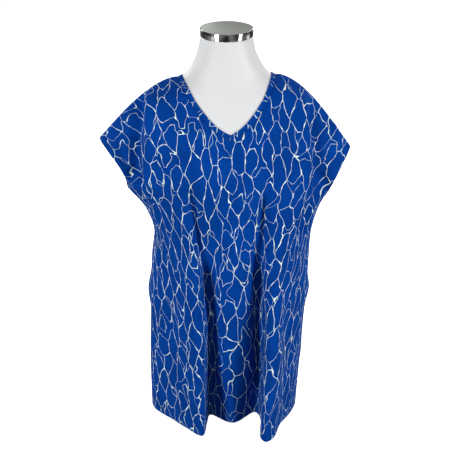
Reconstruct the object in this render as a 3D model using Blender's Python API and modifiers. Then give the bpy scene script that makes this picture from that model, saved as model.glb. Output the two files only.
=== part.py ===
"""Tunic top with a V neck and grown-on cap sleeves, worn by a limbless dress form.

Units are metres and +Z is up.  The origin is the middle of the form's flat underside.
-Y is the front of the tunic and +X is the right-hand side of a viewer in front of it.
"""
import math

import bmesh
import bpy
from mathutils import Vector
from mathutils.bvhtree import BVHTree

CLOTH_WALL = 0.0014         # thickness of the jersey, doubled where it is turned
BAND_WALL = 0.0022          # the neck binding is a folded strip
BAND_WIDTH = 0.0100
SEAM_INSET = 0.00025        # each side of a seam stands back, which leaves 0.5 mm
REST_GAP = 0.0006           # between the cloth's inner face and the form
NEAR = 0.030                # cloth farther off than this can't touch the form
DENSE = 160                 # samples along a row before it is spaced evenly

HALF_COLUMNS = 18
ROWS_BODY = 19              # hem to underarm
ROWS_YOKE = 4               # underarm to the foot of the neckline
ROWS_NECK = 9               # along the neckline
T_UNDERARM = 0.66
T_NECK = 0.78
FOLD_TOP = 0.525            # the hanging folds start here
FOLD_FADE = 1.5             # how soon they are at full depth below that
HEM_Z = 0.030

# The plain rows, whose spans are a first t and the stretch of t that follows it.
BODY_EXPONENT = 2.35        # of a row's rounded plan below the bust
CHEST_EXPONENT = 2.00       # and above it
EXPONENT_SPAN = (0.40, 0.26)
SLEEVE_SPAN = (0.66, 0.22)  # round rows turn into the sleeves' level ones
SLEEVE_CURVE = 1.25         # how the sleeve runs back to its seam in plan
SHOULDER_ARCH = 0.018
ARCH_SPAN = (0.62, 0.38)
CHEST_SWELL = 0.016
CHEST_SPAN = (0.45, 0.55)
SWELL_CURVE = 0.8           # moves the fullest place away from the centre
MITRE_LIMIT = 0.5           # keeps the binding's corner short
PUSH_SHARE = 1.5            # how strongly a corner follows a sample beside it

CAP_RADIUS = 0.0530
CAP_HEIGHT = 0.0147
CAP_SEGMENTS = 56
CAP_EDGE = 0.0016
NECK_TOP = 0.8650
STACK_GAP = 0.0003
FORM_SEGMENTS = 44

# The shoulder's ridge: height, and the power that draws a section's back half in beside it.
SHOULDER_RIDGE = [
    (0.7100, 1.00),
    (0.7420, 1.28),
    (0.7650, 1.60),
    (0.7870, 1.62),
    (0.8000, 1.40),
    (0.8300, 1.00),
]

# The form's sections: height, half width, front depth, back depth.
FORM_SECTIONS = [
    (0.0000, 0.096, 0.030, 0.074),
    (0.0040, 0.104, 0.036, 0.080),
    (0.0150, 0.110, 0.040, 0.084),
    (0.0600, 0.117, 0.044, 0.086),
    (0.1200, 0.126, 0.052, 0.088),
    (0.2000, 0.134, 0.062, 0.090),
    (0.2800, 0.130, 0.066, 0.086),
    (0.3600, 0.118, 0.066, 0.078),
    (0.4200, 0.114, 0.068, 0.074),
    (0.4800, 0.122, 0.082, 0.082),
    (0.5300, 0.134, 0.100, 0.092),
    (0.5700, 0.142, 0.108, 0.098),
    (0.6200, 0.150, 0.103, 0.102),
    (0.6600, 0.160, 0.094, 0.101),
    (0.6900, 0.169, 0.086, 0.097),
    (0.7100, 0.173, 0.080, 0.092),
    (0.7280, 0.171, 0.074, 0.084),
    (0.7420, 0.162, 0.069, 0.076),
    (0.7540, 0.147, 0.065, 0.069),
    (0.7650, 0.127, 0.061, 0.063),
    (0.7760, 0.106, 0.057, 0.0585),
    (0.7870, 0.0875, 0.0545, 0.0560),
    (0.8000, 0.0750, 0.0530, 0.0545),
    (0.8150, 0.0660, 0.0520, 0.0535),
    (0.8330, 0.0585, 0.0515, 0.0530),
    (0.8500, 0.0545, 0.0520, 0.0532),
    (NECK_TOP, 0.0525, 0.0525, 0.0525),
]

# The side seam, hem to underarm: t, left x, right x, y, left z, right z.
SIDE_SEAM = [
    (0.00, -0.168, 0.151, 0.014, HEM_Z, HEM_Z),
    (0.12, -0.169, 0.158, 0.014, 0.130, 0.130),
    (0.27, -0.165, 0.167, 0.014, 0.260, 0.258),
    (0.42, -0.162, 0.175, 0.014, 0.375, 0.372),
    (0.52, -0.155, 0.179, 0.014, 0.448, 0.436),
    (0.60, -0.172, 0.193, 0.012, 0.502, 0.484),
    (T_UNDERARM, -0.2000, 0.2060, 0.010, 0.545, 0.516),
]

# The open cuff edge, from the underarm to the tip of the shoulder seam.
CUFF_TIP = {"left": (-0.262, 0.000, 0.656), "right": (0.256, 0.000, 0.632)}
CUFF_FRONT_BULGE = 0.046
CUFF_BACK_BULGE = 0.050
CUFF_CURVE = {"left": 0.010, "right": -0.007}     # how far the edge curves in, along X

# The centre lines, hem to the foot of the neckline: t, x, y, z.
CENTRE_FRONT = [
    (0.00, 0.004, -0.1180, HEM_Z),
    (0.12, 0.004, -0.1180, 0.1300),
    (0.27, 0.003, -0.1160, 0.2600),
    (0.42, 0.002, -0.1130, 0.3780),
    (0.52, 0.001, -0.1110, 0.4560),
    (0.60, 0.000, -0.1120, 0.5200),
    (0.68, 0.000, -0.1130, 0.5900),
    (T_NECK, 0.000, -0.0910, 0.6750),
]
CENTRE_BACK = [
    (0.00, 0.000, 0.122, HEM_Z),
    (0.12, 0.000, 0.118, 0.130),
    (0.27, 0.000, 0.112, 0.262),
    (0.42, 0.000, 0.105, 0.390),
    (0.52, 0.000, 0.102, 0.480),
    (0.60, 0.000, 0.104, 0.560),
    (0.68, 0.000, 0.104, 0.650),
    (T_NECK, 0.000, 0.075, 0.7450),
]

# The panels' neck edges: share of the way to the shoulder, half width, y, z.
NECK_FRONT = [
    (0.000, 0.0000, -0.0910, 0.6750),
    (0.132, 0.0216, -0.0880, 0.6862),
    (0.273, 0.0416, -0.0810, 0.7023),
    (0.441, 0.0613, -0.0710, 0.7247),
    (0.589, 0.0765, -0.0605, 0.7455),
    (0.743, 0.0880, -0.0440, 0.7662),
    (1.000, 0.0990, 0.0000, 0.7825),
]
NECK_BACK = [
    (0.00, 0.0000, 0.0750, 0.7450),
    (0.25, 0.0300, 0.0720, 0.7475),
    (0.50, 0.0590, 0.0610, 0.7535),
    (0.75, 0.0830, 0.0370, 0.7660),
    (1.00, 0.0990, 0.0000, 0.7825),
]

# The front hem in plan: share of the half panel's width, x, y.
FRONT_HEM = [
    (-1.00, -0.168, 0.014),   # side seam
    (-0.85, -0.165, -0.040),
    (-0.66, -0.124, -0.095),
    (-0.53, -0.098, -0.129),
    (-0.41, -0.067, -0.162),  # left crest
    (-0.26, -0.053, -0.110),
    (-0.17, -0.043, -0.080),  # left valley
    (0.00, 0.004, -0.117),    # centre panel
    (0.16, 0.056, -0.078),    # right valley
    (0.26, 0.066, -0.120),
    (0.39, 0.057, -0.175),
    (0.45, 0.066, -0.197),    # right crest
    (0.52, 0.086, -0.180),
    (0.64, 0.104, -0.132),
    (0.76, 0.130, -0.092),
    (0.88, 0.150, -0.045),
    (1.00, 0.151, 0.014),     # side seam
]

# The back hem in plan: share of the half panel's width, x, y.
BACK_HEM = [
    (-1.00, -0.168, 0.014),   # side seam
    (-0.83, -0.163, 0.070),
    (-0.60, -0.128, 0.142),   # left crest
    (-0.38, -0.086, 0.096),   # left valley
    (-0.17, -0.046, 0.146),   # crest
    (0.00, 0.000, 0.106),     # centre valley
    (0.19, 0.050, 0.150),     # crest
    (0.40, 0.088, 0.098),     # right valley
    (0.62, 0.121, 0.138),     # right crest
    (0.84, 0.148, 0.066),
    (1.00, 0.151, 0.014),     # side seam
]


def clear_scene():
    """Remove the objects that the scene starts with."""
    for item in list(bpy.data.objects):
        bpy.data.objects.remove(item, do_unlink=True)


def make_material(name, colour, roughness, metallic=0.0):
    """Return a Principled material."""
    material = bpy.data.materials.new(name)
    material.use_nodes = True
    shader = material.node_tree.nodes["Principled BSDF"]
    shader.inputs["Base Color"].default_value = (*colour, 1.0)
    shader.inputs["Roughness"].default_value = roughness
    shader.inputs["Metallic"].default_value = metallic
    return material


def interpolate(table, where):
    """Return the table's row at a value of its first column, on a smooth curve."""
    keys = [row[0] for row in table]
    if where <= keys[0]:
        return list(table[0][1:])
    if where >= keys[-1]:
        return list(table[-1][1:])
    low = max(i for i in range(len(keys) - 1) if keys[i] <= where)
    step = keys[low + 1] - keys[low]
    share = (where - keys[low]) / step
    values = []
    for column in range(1, len(table[0])):
        def slope(i):
            """Return the slope at a row, from its neighbours."""
            before, after = max(i - 1, 0), min(i + 1, len(keys) - 1)
            return (table[after][column] - table[before][column]) / (keys[after] - keys[before])
        start, end = table[low][column], table[low + 1][column]
        square, cube = share * share, share ** 3
        values.append((2 * cube - 3 * square + 1) * start
                      + (cube - 2 * square + share) * step * slope(low)
                      + (3 * square - 2 * cube) * end
                      + (cube - square) * step * slope(low + 1))
    return values


def smooth_step(value):
    """Return a value that eases from 0 to 1."""
    value = min(1.0, max(0.0, value))
    return value * value * (3.0 - 2.0 * value)


def span_share(span, t):
    """Return how far t is along a span, from 0 to 1."""
    return min(1.0, max(0.0, (t - span[0]) / span[1]))


def side_edge(t, side, panel):
    """Return the outer edge of a panel: the side seam, then the open cuff."""
    left_x, right_x, y, left_z, right_z = interpolate(SIDE_SEAM, t)
    start = Vector((left_x, y, left_z)) if side == "left" else Vector((right_x, y, right_z))
    if t <= T_UNDERARM:
        return start
    share = (t - T_UNDERARM) / (1.0 - T_UNDERARM)
    point = start.lerp(Vector(CUFF_TIP[side]), share)
    bulge = -CUFF_FRONT_BULGE if panel == "front" else CUFF_BACK_BULGE
    point.y += bulge * math.sin(math.pi * share) ** SWELL_CURVE
    point.x += CUFF_CURVE[side] * math.sin(math.pi * share)
    return point


def centre_edge(t, side, panel):
    """Return the inner edge of a half panel: the centre line, then the neck edge."""
    centre, neck = ((CENTRE_FRONT, NECK_FRONT) if panel == "front"
                    else (CENTRE_BACK, NECK_BACK))
    if t <= T_NECK:
        return Vector(interpolate(centre, t))
    half, y, z = interpolate(neck, (t - T_NECK) / (1.0 - T_NECK))
    return Vector((-half if side == "left" else half, y, z))


def plain_row(t, side, panel):
    """Return the points of a half row without its folds, from the centre outwards."""
    inner, outer = centre_edge(t, side, panel), side_edge(t, side, panel)
    sleeve = smooth_step(span_share(SLEEVE_SPAN, t))
    square = 2.0 / (BODY_EXPONENT + (CHEST_EXPONENT - BODY_EXPONENT)
                    * smooth_step(span_share(EXPONENT_SPAN, t)))
    arch = SHOULDER_ARCH * smooth_step(span_share(ARCH_SPAN, t))
    forward = -1.0 if panel == "front" else 1.0
    chest = CHEST_SWELL * math.sin(math.pi * span_share(CHEST_SPAN, t))
    points = []
    for step in range(DENSE + 1):
        a = step / DENSE
        angle = a * math.pi / 2
        body_x = math.sin(angle) ** square
        body_y = 1.0 - max(0.0, math.cos(angle)) ** square
        across = body_x + (a - body_x) * sleeve
        deep = body_y + (a ** SLEEVE_CURVE - body_y) * sleeve
        fall = (1.0 - math.cos(angle)) * (1.0 - sleeve) + a * sleeve
        hump = math.sin(math.pi * a ** SWELL_CURVE)
        points.append(Vector((inner.x + (outer.x - inner.x) * across,
                              inner.y + (outer.y - inner.y) * deep + forward * chest * hump,
                              inner.z + (outer.z - inner.z) * fall + arch * hump)))
    return points


def even_points(points, count):
    """Return count + 1 points spaced evenly along a line of points."""
    lengths = [0.0]
    for first, second in zip(points, points[1:]):
        lengths.append(lengths[-1] + (second - first).length)
    spaced, at = [], 0
    for step in range(count + 1):
        goal = lengths[-1] * step / count
        while at < len(points) - 2 and lengths[at + 1] < goal:
            at += 1
        share = (goal - lengths[at]) / (lengths[at + 1] - lengths[at])
        spaced.append(points[at].lerp(points[at + 1], share))
    return spaced


def row_heights():
    """Return the rows' t values, closer together beside the neck."""
    body = [T_UNDERARM * i / ROWS_BODY for i in range(ROWS_BODY)]
    yoke = [T_UNDERARM + (T_NECK - T_UNDERARM) * i / ROWS_YOKE for i in range(ROWS_YOKE)]
    neck = [T_NECK + (1.0 - T_NECK) * i / ROWS_NECK for i in range(ROWS_NECK + 1)]
    return body + yoke + neck


def half_grid(side, panel):
    """Return the rows of a half panel, each from the centre outwards."""
    hem = FRONT_HEM if panel == "front" else BACK_HEM
    sign = -1.0 if side == "left" else 1.0
    plain_hem = even_points(plain_row(0.0, side, panel), HALF_COLUMNS)
    moves = []
    for column, point in enumerate(plain_hem):
        x, y = interpolate(hem, sign * column / HALF_COLUMNS)
        moves.append(Vector((x - point.x, y - point.y, 0.0)))
    grid = []
    for t in row_heights():
        row = even_points(plain_row(t, side, panel), HALF_COLUMNS)
        for column, point in enumerate(row):
            share = min(1.0, max(0.0, (FOLD_TOP - point.z) / (FOLD_TOP - HEM_Z)))
            strength = 1.0 - (1.0 - share) ** FOLD_FADE
            row[column] = point + moves[column] * strength
        grid.append(row)
    return grid


def lift_off(points, pieces, tree, rounds=40, quarters=4):
    """Move points outwards until each piece's faces clear the form by the piece's gap."""
    near = [(face, gap) for faces, gap in pieces for face in faces
            if tree.find_nearest(sum((points[i] for i in face), Vector()) / len(face))[3] < NEAR]
    shares = [(i / quarters, j / quarters) for i in range(quarters + 1)
              for j in range(quarters + 1)]
    for _ in range(rounds):
        pushes = {}
        for face, gap in near:
            first, second, third, fourth = (points[i] for i in face)
            for across, along in shares:
                sample = first.lerp(second, across).lerp(fourth.lerp(third, across), along)
                place, normal, _, distance = tree.find_nearest(sample)
                height = distance if (sample - place).dot(normal) >= 0.0 else -distance
                if height >= gap:
                    continue
                weights = ((1 - across) * (1 - along), across * (1 - along),
                           across * along, (1 - across) * along)
                for owner, weight in zip(face, weights):
                    push = normal * (gap - height) * min(1.0, weight * PUSH_SHARE)
                    if owner not in pushes or push.length > pushes[owner].length:
                        pushes[owner] = push
        if not pushes:
            return
        for index, push in pushes.items():
            points[index] = points[index] + push


class Tunic:
    """The tunic's middle surface: one set of points, on which its pieces share seams."""

    def __init__(self, tree):
        """Lay out the panels and the neck binding, and lift them off the form."""
        self.tree = tree
        self.times = row_heights()
        self.foot, self.last = self.times.index(T_NECK), len(self.times) - 1
        self.points, self.index = [], {}
        self.faces = {"front": self.panel("front"), "back": self.panel("back")}
        self.seams = self.find_seams()
        lift_off(self.points, [(self.faces["front"] + self.faces["back"],
                                REST_GAP + CLOTH_WALL / 2)], tree)
        self.faces["neckband"] = self.band(self.seams["neck"])
        lift_off(self.points, [(self.faces["front"] + self.faces["back"],
                                REST_GAP + CLOTH_WALL / 2),
                               (self.faces["neckband"], REST_GAP + BAND_WALL / 2)], tree)
        self.normals = self.point_normals()

    def corner(self, panel, row, column, side):
        """Return a grid corner's point number; above the neckline's foot the centre is split."""
        return self.index[(panel, row, column, side if column == 0 and row > self.foot else "")]

    def panel(self, panel):
        """Add a panel's points and return its faces."""
        halves = {side: half_grid(side, panel) for side in ("left", "right")}
        for row in range(self.last + 1):
            for column in range(-HALF_COLUMNS, HALF_COLUMNS + 1):
                split = column == 0 and row > self.foot
                for side in (("left", "right") if split else ("",)):
                    key = (row, column, side)
                    on_seam = row == self.last or (abs(column) == HALF_COLUMNS
                                                   and self.times[row] <= T_UNDERARM + 1e-9)
                    if panel == "back" and on_seam:
                        self.index[("back", *key)] = self.index[("front", *key)]
                        continue
                    half = halves[side or ("left" if column < 0 else "right")]
                    self.index[(panel, *key)] = len(self.points)
                    self.points.append(half[row][abs(column)])
        faces = []
        for row in range(self.last):
            for column in range(-HALF_COLUMNS, HALF_COLUMNS):
                side = "left" if column < 0 else "right"
                face = [self.corner(panel, row, column, side),
                        self.corner(panel, row, column + 1, side),
                        self.corner(panel, row + 1, column + 1, side),
                        self.corner(panel, row + 1, column, side)]
                faces.append(face if panel == "front" else face[::-1])
        return faces

    def find_seams(self):
        """Return the seams' point numbers, each in order along its seam."""
        seams = {}
        for side, sign in (("left", -1), ("right", 1)):
            rows = [row for row, t in enumerate(self.times) if t <= T_UNDERARM + 1e-9]
            seams[f"side_{side}"] = [self.corner("front", row, sign * HALF_COLUMNS, side)
                                     for row in rows]
            seams[f"shoulder_{side}"] = [self.corner("front", self.last, sign * column, side)
                                         for column in range(HALF_COLUMNS + 1)]
        edge = {(panel, side): [self.corner(panel, row, 0, side)
                                for row in range(self.foot, self.last + 1)]
                for panel in ("front", "back") for side in ("left", "right")}
        seams["neck"] = (edge[("front", "left")] + edge[("back", "left")][::-1][1:]
                         + edge[("back", "right")][1:] + edge[("front", "right")][::-1][1:-1])
        return seams

    def band(self, loop, lanes=3):
        """Add the neck binding's points inside the neck seam and return its faces."""
        numbers = [[number] for number in loop]
        for i, number in enumerate(loop):
            point = self.points[number]
            before, after = self.points[loop[i - 1]], self.points[loop[(i + 1) % len(loop)]]
            normal = self.tree.find_nearest(point)[1]
            first = normal.cross(point - before).normalized()
            second = normal.cross(after - point).normalized()
            middle = (first + second).normalized()
            if middle.z < 0.0:
                middle = -middle
            width = BAND_WIDTH / max(MITRE_LIMIT, abs(middle.dot(first)))
            for lane in range(1, lanes):
                numbers[i].append(len(self.points))
                self.points.append(point + middle * width * lane / (lanes - 1))
        faces = []
        for i in range(len(loop)):
            after = (i + 1) % len(loop)
            for lane in range(lanes - 1):
                faces.append([numbers[i][lane], numbers[i][lane + 1],
                              numbers[after][lane + 1], numbers[after][lane]])
        return faces

    def point_normals(self):
        """Return each point's outward direction, from the faces of all its pieces."""
        normals = [Vector() for _ in self.points]
        for faces in self.faces.values():
            for first, second, third, fourth in faces:
                normal = ((self.points[third] - self.points[first]).cross(
                    self.points[fourth] - self.points[second]))
                for number in (first, second, third, fourth):
                    normals[number] += normal
        return [normal.normalized() for normal in normals]

    def insets(self, name):
        """Return how far a piece's points step back from the seams, square to each seam."""
        centres = {}
        for face in self.faces[name]:
            centre = sum((self.points[number] for number in face), Vector()) / len(face)
            for number in face:
                centres.setdefault(number, []).append(centre)
        moves = {}
        for seam, numbers in self.seams.items():
            closed = seam == "neck"
            for i, number in enumerate(numbers):
                if number not in centres:
                    continue
                before = numbers[i - 1] if closed or i else number
                after = numbers[(i + 1) % len(numbers)] if closed or i < len(numbers) - 1 else number
                square = (self.points[after] - self.points[before]).cross(self.normals[number])
                middle = sum(centres[number], Vector()) / len(centres[number])
                if square.dot(middle - self.points[number]) < 0.0:
                    square = -square
                moves[number] = moves.get(number, Vector()) + square.normalized() * SEAM_INSET
        return moves

    def solid(self, name, wall):
        """Return a piece as a closed wall: its points and its faces."""
        moves = self.insets(name)
        used = sorted({number for face in self.faces[name] for number in face})
        local = {number: place for place, number in enumerate(used)}
        count = len(used)
        middle = [self.points[number] + moves.get(number, Vector()) for number in used]
        points = ([point + self.normals[number] * wall / 2 for point, number in zip(middle, used)]
                  + [point - self.normals[number] * wall / 2
                     for point, number in zip(middle, used)])
        outer = [[local[number] for number in face] for face in self.faces[name]]
        faces = outer + [[place + count for place in face[::-1]] for face in outer]
        edges = {edge for face in outer for edge in zip(face, face[1:] + face[:1])}
        for first, second in sorted(edges):
            if (second, first) not in edges:
                faces.append([second, first, first + count, second + count])
        return points, faces


def add_object(name, points, faces, collection, material):
    """Add a closed mesh object, smooth shaded but for its sharp edges."""
    mesh = bpy.data.meshes.new(name)
    mesh.from_pydata([tuple(point) for point in points], [], faces)
    mesh.update()
    item = bpy.data.objects.new(name, mesh)
    collection.objects.link(item)
    mesh.materials.append(material)
    mesh.shade_smooth()
    mesh.set_sharp_from_angle(angle=math.radians(50))
    return item


def form_points():
    """Return the form's rings as points and faces, with flat ends."""
    points, faces = [], []
    for z, half, front, back in FORM_SECTIONS:
        ridge = interpolate(SHOULDER_RIDGE, z)[0]
        for step in range(FORM_SEGMENTS):
            angle = 2 * math.pi * step / FORM_SEGMENTS
            across, along = math.cos(angle), math.sin(angle)
            if along > 0:
                across = math.copysign(abs(across) ** ridge, across)
                along = along ** ridge
            depth = back if along > 0 else front
            points.append(Vector((half * across, depth * along, z)))
    for ring in range(len(FORM_SECTIONS) - 1):
        for step in range(FORM_SEGMENTS):
            after = (step + 1) % FORM_SEGMENTS
            base, top = ring * FORM_SEGMENTS, (ring + 1) * FORM_SEGMENTS
            faces.append([base + step, base + after, top + after, top + step])
    faces.append(list(range(FORM_SEGMENTS))[::-1])
    last = (len(FORM_SECTIONS) - 1) * FORM_SEGMENTS
    faces.append([last + step for step in range(FORM_SEGMENTS)])
    return points, faces


def add_cap(collection, material):
    """Add the round metal cap on top of the neck."""
    mesh = bpy.data.meshes.new("neck_cap")
    shape = bmesh.new()
    bmesh.ops.create_cone(shape, cap_ends=True, segments=CAP_SEGMENTS, radius1=CAP_RADIUS,
                          radius2=CAP_RADIUS, depth=CAP_HEIGHT)
    shape.to_mesh(mesh)
    shape.free()
    cap = bpy.data.objects.new("neck_cap", mesh)
    collection.objects.link(cap)
    mesh.materials.append(material)
    cap.location = (0.0, 0.0, NECK_TOP + STACK_GAP + CAP_HEIGHT / 2)
    bevel = cap.modifiers.new("edge", "BEVEL")
    bevel.width = CAP_EDGE
    bevel.segments = 2
    bevel.limit_method = "ANGLE"
    bevel.angle_limit = math.radians(60)
    mesh.shade_smooth()
    mesh.set_sharp_from_angle(angle=math.radians(40))


def main():
    """Build the form, the cap and the tunic's three pieces."""
    clear_scene()
    collection = bpy.data.collections.new("tunic_on_form")
    bpy.context.scene.collection.children.link(collection)
    jersey = make_material("printed_jersey", (0.004, 0.062, 0.36), 0.75)
    satin = make_material("white_satin", (0.80, 0.80, 0.80), 0.35)
    steel = make_material("cap_steel", (0.62, 0.63, 0.62), 0.20, 1.0)

    points, faces = form_points()
    form = add_object("form_torso", points, faces, collection, satin)
    form.data.calc_loop_triangles()
    tree = BVHTree.FromPolygons(points, [tuple(triangle.vertices)
                                         for triangle in form.data.loop_triangles])
    add_cap(collection, steel)

    tunic = Tunic(tree)
    for name, wall in (("front", CLOTH_WALL), ("back", CLOTH_WALL), ("neckband", BAND_WALL)):
        points, faces = tunic.solid(name, wall)
        add_object(name, points, faces, collection, jersey)


main()
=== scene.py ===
"""A printed V-neck tunic top with cap sleeves on a white dress form, in a plain studio.

Units are metres.  -Y is the tunic's front, +X the right of a viewer in front of it.
"""

import logging
import math
from dataclasses import dataclass, field
from enum import Enum
from typing import Any

import bmesh
import bpy
import numpy as np
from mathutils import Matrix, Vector
from mathutils.bvhtree import BVHTree


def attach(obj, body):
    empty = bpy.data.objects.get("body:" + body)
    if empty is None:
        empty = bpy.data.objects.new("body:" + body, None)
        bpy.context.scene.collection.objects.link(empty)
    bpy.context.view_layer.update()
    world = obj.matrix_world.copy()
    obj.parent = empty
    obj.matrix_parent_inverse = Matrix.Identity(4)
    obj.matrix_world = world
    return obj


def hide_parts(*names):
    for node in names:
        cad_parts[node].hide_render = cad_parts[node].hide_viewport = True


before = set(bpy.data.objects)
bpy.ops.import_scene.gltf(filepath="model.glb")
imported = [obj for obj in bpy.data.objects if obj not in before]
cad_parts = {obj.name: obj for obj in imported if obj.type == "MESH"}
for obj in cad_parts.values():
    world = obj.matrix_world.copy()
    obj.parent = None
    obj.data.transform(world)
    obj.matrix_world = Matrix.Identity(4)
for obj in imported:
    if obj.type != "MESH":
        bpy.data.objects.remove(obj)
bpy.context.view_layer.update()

LOG = logging.getLogger("tunic")
IMAGE_WIDTH = 460
Array = np.ndarray
Colour = tuple[float, float, float]
Point = tuple[float, float, float]


class Panel(Enum):
    """The two panels that the tunic is cut from."""

    FRONT = "front"
    BACK = "back"

    @property
    def forward(self) -> float:
        """Return the sign of Y that the panel faces."""
        return -1.0 if self is Panel.FRONT else 1.0


class Side(Enum):
    """The side of the tunic, as a viewer in front of it sees it."""

    LEFT = -1
    RIGHT = 1


class Edge(Enum):
    """The edges of a panel that carry stitching."""

    HEM = "hem"
    CUFF = "cuff"
    NECK = "neck"


class Shade:
    """A socket of a material, with the arithmetic that its patterns need."""

    def __init__(self, painter: "Painter", socket: bpy.types.NodeSocket) -> None:
        """Keep the socket and the painter that adds its nodes."""
        self.painter, self.socket = painter, socket

    def _math(self, operation: str, *values: Any) -> "Shade":
        """Return a Math node's result."""
        return self.painter.node("ShaderNodeMath", {"operation": operation},
                                 dict(enumerate(values)))

    def __add__(self, other: Any) -> "Shade":
        """Return the sum."""
        return self._math("ADD", self, other)

    __radd__ = __add__

    def __sub__(self, other: Any) -> "Shade":
        """Return the difference."""
        return self._math("SUBTRACT", self, other)

    def __rsub__(self, other: Any) -> "Shade":
        """Return the reflected difference."""
        return self._math("SUBTRACT", other, self)

    def __mul__(self, other: Any) -> "Shade":
        """Return the product."""
        return self._math("MULTIPLY", self, other)

    __rmul__ = __mul__

    def __truediv__(self, other: Any) -> "Shade":
        """Return the quotient."""
        return self._math("DIVIDE", self, other)

    def __pow__(self, other: Any) -> "Shade":
        """Return the power."""
        return self._math("POWER", self, other)

    def __abs__(self) -> "Shade":
        """Return the size without its sign."""
        return self._math("ABSOLUTE", self)

    def largest(self, other: Any) -> "Shade":
        """Return the larger of two values."""
        return self._math("MAXIMUM", self, other)

    def sine(self) -> "Shade":
        """Return the sine."""
        return self._math("SINE", self)

    def ramp(self, low: float, high: float, start: float = 0.0, end: float = 1.0) -> "Shade":
        """Return a smooth step from start to end as this value goes from low to high."""
        return self.painter.node("ShaderNodeMapRange", {"interpolation_type": "SMOOTHSTEP"},
                                 {"Value": self, "From Min": low, "From Max": high,
                                  "To Min": start, "To Max": end})


class Painter:
    """Builds one material's nodes."""

    def __init__(self, name: str) -> None:
        """Make an empty material with its output node."""
        self.material = bpy.data.materials.new(name)
        self.material.use_nodes = True
        self.tree = self.material.node_tree
        self.tree.nodes.clear()
        self.output = self.tree.nodes.new("ShaderNodeOutputMaterial")

    def node(self, kind: str, settings: dict[str, Any] | None = None,
             inputs: dict[Any, Any] | None = None, out: Any = 0) -> Shade:
        """Add a node and return one of its outputs.

        Args:
            kind: The node's type.
            settings: Properties, which are set first.
            inputs: Values or links by socket name or number.
            out: The output's name or number.

        Returns:
            The output as a Shade.
        """
        made = self.tree.nodes.new(kind)
        for key, value in (settings or {}).items():
            setattr(made, key, value)
        for key, value in (inputs or {}).items():
            if isinstance(value, Shade):
                self.tree.links.new(value.socket, made.inputs[key])
            else:
                made.inputs[key].default_value = value
        return Shade(self, made.outputs[out])

    def mix(self, share: Any, first: Any, second: Any) -> Shade:
        """Return a colour between two colours."""
        colours = [value if isinstance(value, Shade) else (*value, 1.0)
                   for value in (first, second)]
        return self.node("ShaderNodeMix", {"data_type": "RGBA"},
                         {0: share, 6: colours[0], 7: colours[1]}, out=2)

    def noise(self, vector: Shade, scale: float, detail: float = 1.0, flat: bool = True,
              out: str = "Fac") -> Shade:
        """Return a noise in two or three dimensions."""
        return self.node("ShaderNodeTexNoise", {"noise_dimensions": "2D" if flat else "3D"},
                         {"Vector": vector, "Scale": scale, "Detail": detail}, out)

    def vector(self, operation: str, *values: Any) -> Shade:
        """Return a Vector Math node's result."""
        return self.node("ShaderNodeVectorMath", {"operation": operation},
                         dict(enumerate(values)))

    def bump(self, height: Any, strength: float, distance: float) -> Shade:
        """Return a normal that is raised by a height."""
        return self.node("ShaderNodeBump", inputs={"Strength": strength, "Distance": distance,
                                                   "Height": height})

    def surface(self, **inputs: Any) -> bpy.types.Material:
        """Finish the material with a Principled shader and return it.

        Args:
            inputs: The shader's sockets by name, in lower case and with underscores.

        Returns:
            The material.
        """
        named = {key.replace("_", " ").title().replace("Ior", "IOR"): value
                 for key, value in inputs.items()}
        for key, value in named.items():
            if isinstance(value, tuple) and len(value) == 3:
                named[key] = (*value, 1.0)
        shader = self.node("ShaderNodeBsdfPrincipled", inputs=named)
        self.tree.links.new(shader.socket, self.output.inputs[0])
        return self.material


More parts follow.
